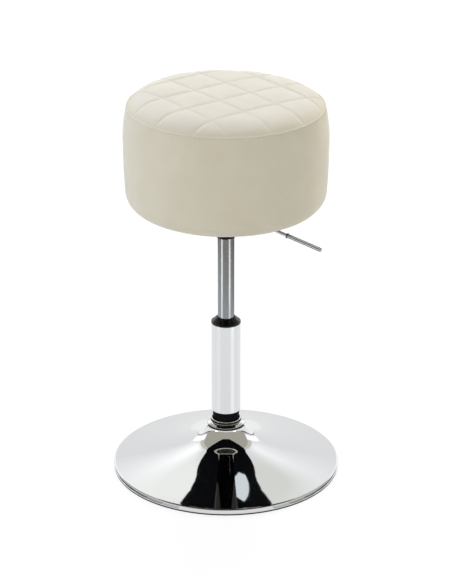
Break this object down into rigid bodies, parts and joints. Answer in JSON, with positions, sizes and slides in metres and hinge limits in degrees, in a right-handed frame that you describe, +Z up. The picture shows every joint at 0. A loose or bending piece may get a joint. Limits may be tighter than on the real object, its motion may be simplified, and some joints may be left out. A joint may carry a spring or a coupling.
{
  "type": "adjustable swivel stool",
  "caption": "Swivel stool with a round padded seat, quilted on top, on a gas lift with a side lever, a chrome column and a chrome trumpet base.",
  "frame": {"origin": "on the floor, on the stool's axis, under the centre of the base", "axes": "+Z up along the column, +X along the lift lever, seat at the top of its travel"},
  "size_m": [0.385, 0.385, 0.672],
  "materials": {
    "cream_fabric": "matte",
    "foam": "matte",
    "plywood": "matte",
    "black_cloth": "matte",
    "zinc_steel": "satin",
    "chrome": "polished",
    "satin_steel": "satin",
    "ground_steel": "polished",
    "black_paint": "satin",
    "black_plastic": "gloss",
    "white_plastic": "satin",
    "aluminium": "satin",
    "black_rubber": "matte"
  },
  "bodies": {
    "base": {"rim_ring": "black_rubber", "base_shell": "chrome", "hub_plate": "black_paint", "base_socket": "black_paint", "base_collar": "chrome", "standpipe": "black_paint", "standpipe_end_plate": "black_paint", "column_cover": "chrome", "guide_bushing": "black_plastic", "lower_bearing_washer": "ground_steel"},
    "bearing_cage": {"ball_cage": "white_plastic", "bearing_balls": "ground_steel"},
    "rod": {"piston_rod": "ground_steel", "piston": "aluminium", "piston_seal": "black_rubber", "rubber_bumper": "black_rubber", "upper_bearing_washer": "ground_steel", "end_washer": "zinc_steel", "retaining_clip": "zinc_steel"},
    "seat": {"gas_cylinder": "satin_steel", "rod_guide": "white_plastic", "rod_seal": "black_rubber", "valve_body": "aluminium", "seat_socket": "black_paint", "seat_plate": "black_paint", "lever_bracket": "black_paint", "pivot_pin": "zinc_steel", "pivot_clips": "zinc_steel", "plate_bolts": "zinc_steel", "bolt_washers": "zinc_steel", "t_nuts": "zinc_steel", "bottom_board": "plywood", "drum_wall": "plywood", "top_board": "plywood", "top_foam": "foam", "side_foam": "foam", "dust_cover": "black_cloth", "cover_staples": "zinc_steel", "side_cover": "cream_fabric", "seam_piping": "cream_fabric", "quilted_cover": "cream_fabric"},
    "lever": {"lever_rod": "chrome", "lever_grip": "chrome", "grip_ring": "black_rubber"},
    "button": {"release_pin": "ground_steel"}
  },
  "joints": [
    {"name": "seat_swivel", "type": "hinge", "parent": "base", "child": "rod", "pos_m": [0, 0, 0.029], "axis": [0, 0, 1], "continuous": true},
    {"name": "cage_roll", "type": "hinge", "parent": "base", "child": "bearing_cage", "pos_m": [0, 0, 0.029], "axis": [0, 0, 1], "continuous": true},
    {"name": "seat_height", "type": "slide", "parent": "rod", "child": "seat", "axis": [0, 0, 1], "range_m": [-0.14, 0]},
    {"name": "lever_lift", "type": "hinge", "parent": "seat", "child": "lever", "pos_m": [0.025, 0, 0.462], "axis": [0, -1, 0], "range_deg": [0, 7], "stiffness_Nm_per_rad": 2.86, "springref_deg": -20.05},
    {"name": "button_press", "type": "slide", "parent": "seat", "child": "button", "axis": [0, 0, -1], "range_m": [0, 0.0031]}
  ],
  "couplings": [
    {"joint": "cage_roll", "follows": "seat_swivel", "ratio": 0.5},
    {"joint": "button_press", "follows": "lever_lift", "m_per_rad": 0.025}
  ]
}
